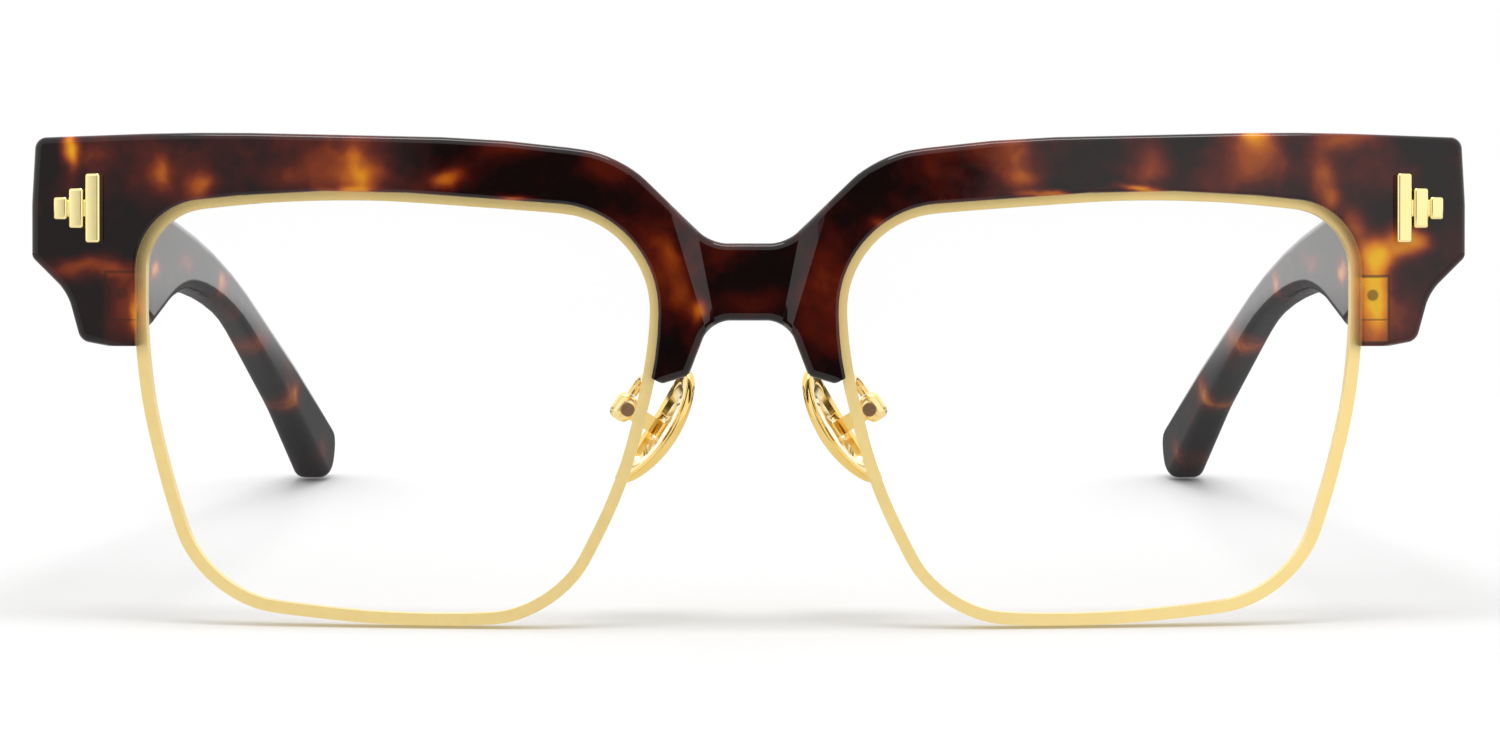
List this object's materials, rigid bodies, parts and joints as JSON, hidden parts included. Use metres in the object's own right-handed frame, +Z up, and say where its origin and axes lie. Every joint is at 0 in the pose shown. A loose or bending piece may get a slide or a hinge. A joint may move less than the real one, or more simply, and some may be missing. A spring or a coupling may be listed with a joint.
{
  "type": "browline glasses",
  "caption": "Angular browline spectacles: thick tortoise acetate brow and temples, slim gold metal rims, clear lenses, folding hinges and rocking nose pads.",
  "frame": {"origin": "middle of the footprint on the ground, where the rim bottoms and both temple tips rest", "axes": "+X across the front to the right as pictured, +Y backwards along the open temples, +Z up"},
  "size_m": [0.1466, 0.14, 0.0502],
  "materials": {
    "acetate": "polished tortoise acetate",
    "lens": "clear polished lens",
    "gold_rim": "polished pale gold plating",
    "gold_plaque": "polished pale gold plating",
    "hinge_metal": "satin gold plating",
    "screw_metal": "polished gold plating"
  },
  "bodies": {
    "front": {"brow_front": "acetate", "lens_left": "lens", "lens_right": "lens", "rim_left": "gold_rim", "rim_right": "gold_rim", "closing_block_upper_left": "gold_rim", "closing_block_upper_right": "gold_rim", "closing_block_lower_left": "gold_rim", "closing_block_lower_right": "gold_rim", "pad_arm_left": "gold_rim", "pad_arm_right": "gold_rim", "pad_box_left": "gold_rim", "pad_box_right": "gold_rim", "front_plaque_left": "gold_plaque", "front_plaque_right": "gold_plaque", "front_hinge_left": "hinge_metal", "front_hinge_right": "hinge_metal", "closing_screws": "screw_metal", "brow_screws": "screw_metal", "hinge_screws": "screw_metal", "pad_screws": "screw_metal"},
    "temple_left": {"temple_left": "acetate", "temple_hinge_left": "hinge_metal", "temple_core_left": "hinge_metal"},
    "temple_right": {"temple_right": "acetate", "temple_hinge_right": "hinge_metal", "temple_core_right": "hinge_metal"},
    "nose_pad_left": {"nose_pad_left": "gold_rim"},
    "nose_pad_right": {"nose_pad_right": "gold_rim"}
  },
  "joints": [
    {"name": "temple_fold_right", "type": "hinge", "parent": "front", "child": "temple_right", "pos_m": [0.06403, -0.05729, 0.03801], "axis": [0, 0.0832, 0.9965], "range_deg": [0, 81]},
    {"name": "temple_fold_left", "type": "hinge", "parent": "front", "child": "temple_left", "pos_m": [-0.06403, -0.05729, 0.03801], "axis": [0, -0.0832, -0.9965], "range_deg": [0, 85.5]},
    {"name": "pad_rock_right", "type": "hinge", "parent": "front", "child": "nose_pad_right", "pos_m": [0.0128, -0.06082, 0.02176], "axis": [0.2885, 0.9517, 0.105], "range_deg": [-8, 8]},
    {"name": "pad_rock_left", "type": "hinge", "parent": "front", "child": "nose_pad_left", "pos_m": [-0.0128, -0.06082, 0.02176], "axis": [0.2885, -0.9517, -0.105], "range_deg": [-8, 8]}
  ]
}
